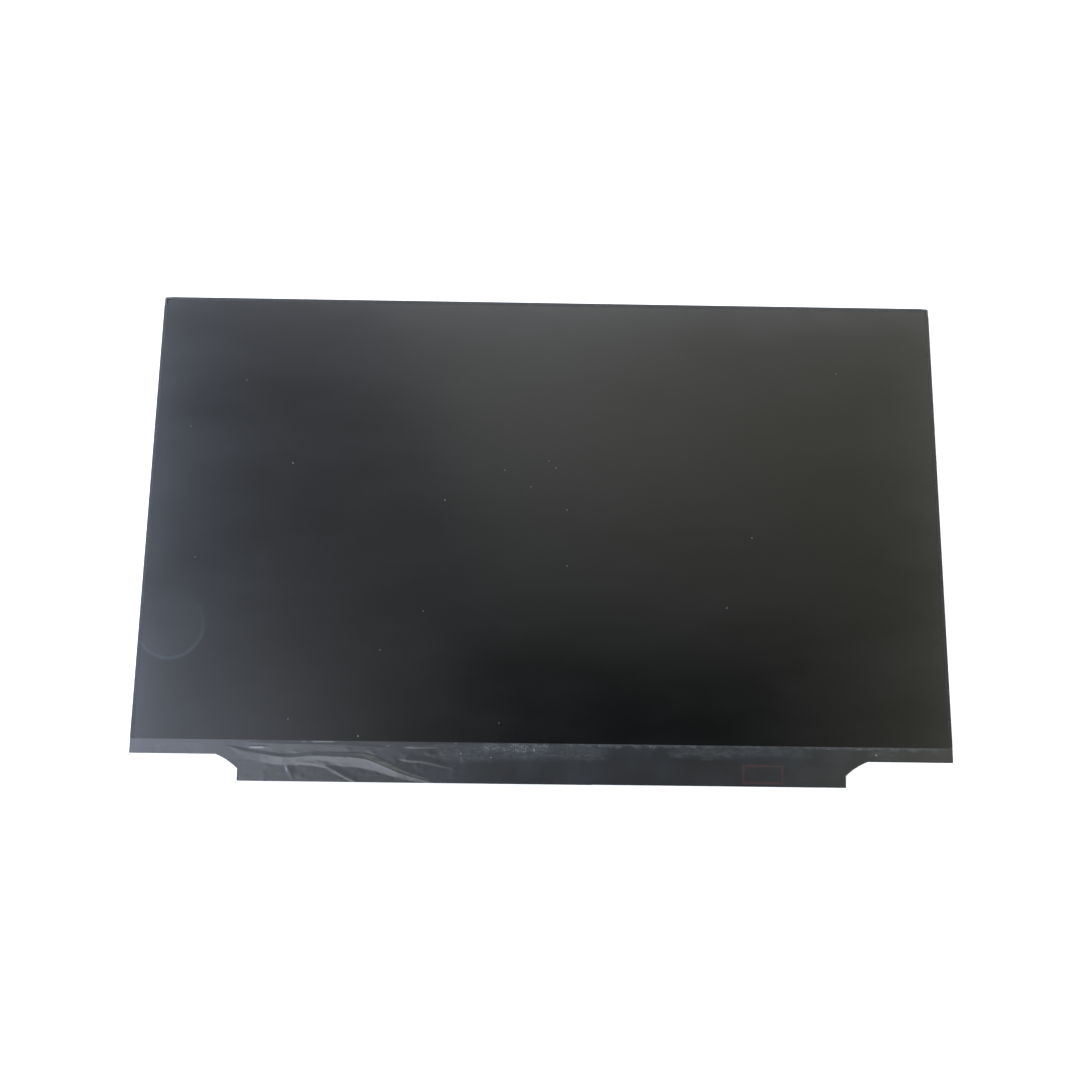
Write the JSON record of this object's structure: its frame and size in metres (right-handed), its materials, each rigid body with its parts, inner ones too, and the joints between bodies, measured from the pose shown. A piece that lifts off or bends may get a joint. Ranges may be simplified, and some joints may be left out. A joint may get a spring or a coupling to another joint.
{
  "type": "laptop screen panel",
  "caption": "Slim flat laptop display panel without brackets: glass cell, edge-lit backlight, metal rear cover and a control board under black film.",
  "frame": {"origin": "middle of the underside of the box around the whole panel, board section included", "axes": "+X to the right across the screen, +Y to the top of the picture, +Z out of the screen; the board section stands out towards -Y"},
  "size_m": [0.3506, 0.2162, 0.0031],
  "materials": {
    "rear_cover": "pressed sheet, satin mill finish",
    "frame_black": "moulded, fine texture",
    "reflector": "white foamed film",
    "light_guide": "clear cast acrylic",
    "diffuser": "frosted film",
    "prism_sheet": "film with a fine ribbed face",
    "strip_amber": "printed circuit film",
    "lamp": "white body with yellow phosphor",
    "adhesive": "black double sided tape",
    "polariser_rear": "smooth dark film",
    "lower_glass": "thin glass with a fine circuit",
    "upper_glass": "thin glass with a dark colour filter",
    "screen": "anti-glare film",
    "chip_silicon": "bare silicon",
    "flex_amber": "circuit film with copper tracks",
    "board_green": "solder mask over glass fibre board",
    "chip_black": "moulded epoxy",
    "solder": "tinned",
    "ferrite": "moulded ferrite",
    "fuse_white": "white ceramic",
    "capacitor": "fired ceramic",
    "resistor": "black glazed ceramic",
    "socket_plastic": "moulded",
    "socket_steel": "tin plated",
    "contact_gold": "gold plated",
    "foil": "conductive foil",
    "film_black": "thin smooth film",
    "tape_black": "thin matte tape"
  },
  "bodies": {
    "root": {"rear_cover": "rear_cover", "mould_frame": "frame_black", "reflector_sheet": "reflector", "light_guide": "light_guide", "lower_diffuser": "diffuser", "lower_prism_sheet": "prism_sheet", "upper_prism_sheet": "prism_sheet", "lamp_strip": "strip_amber", "lamps": "lamp", "cell_adhesive_ring": "adhesive", "rear_polariser": "polariser_rear", "lower_glass": "lower_glass", "upper_glass": "upper_glass", "front_polariser": "screen", "driver_chip_1": "chip_silicon", "driver_chip_2": "chip_silicon", "driver_chip_3": "chip_silicon", "driver_chip_4": "chip_silicon", "bridge_flex_1": "flex_amber", "bridge_flex_2": "flex_amber", "bridge_flex_3": "flex_amber", "bridge_flex_4": "flex_amber", "control_board": "board_green", "timing_controller": "chip_black", "supply_chip": "chip_black", "lamp_driver_chip": "chip_black", "memory_chip": "chip_black", "chip_leads": "solder", "power_coil_1": "ferrite", "power_coil_2": "ferrite", "power_coil_3": "ferrite", "rectifier_1": "chip_black", "rectifier_2": "chip_black", "board_fuse": "fuse_white", "ceramic_capacitors": "capacitor", "capacitor_ends": "solder", "chip_resistors": "resistor", "resistor_ends": "solder", "socket_body": "socket_plastic", "socket_shell": "socket_steel", "socket_contacts": "contact_gold", "ground_foil": "foil", "cover_film": "film_black", "left_edge_tape": "tape_black", "right_edge_tape": "tape_black", "top_edge_tape": "tape_black"}
  },
  "joints": []
}
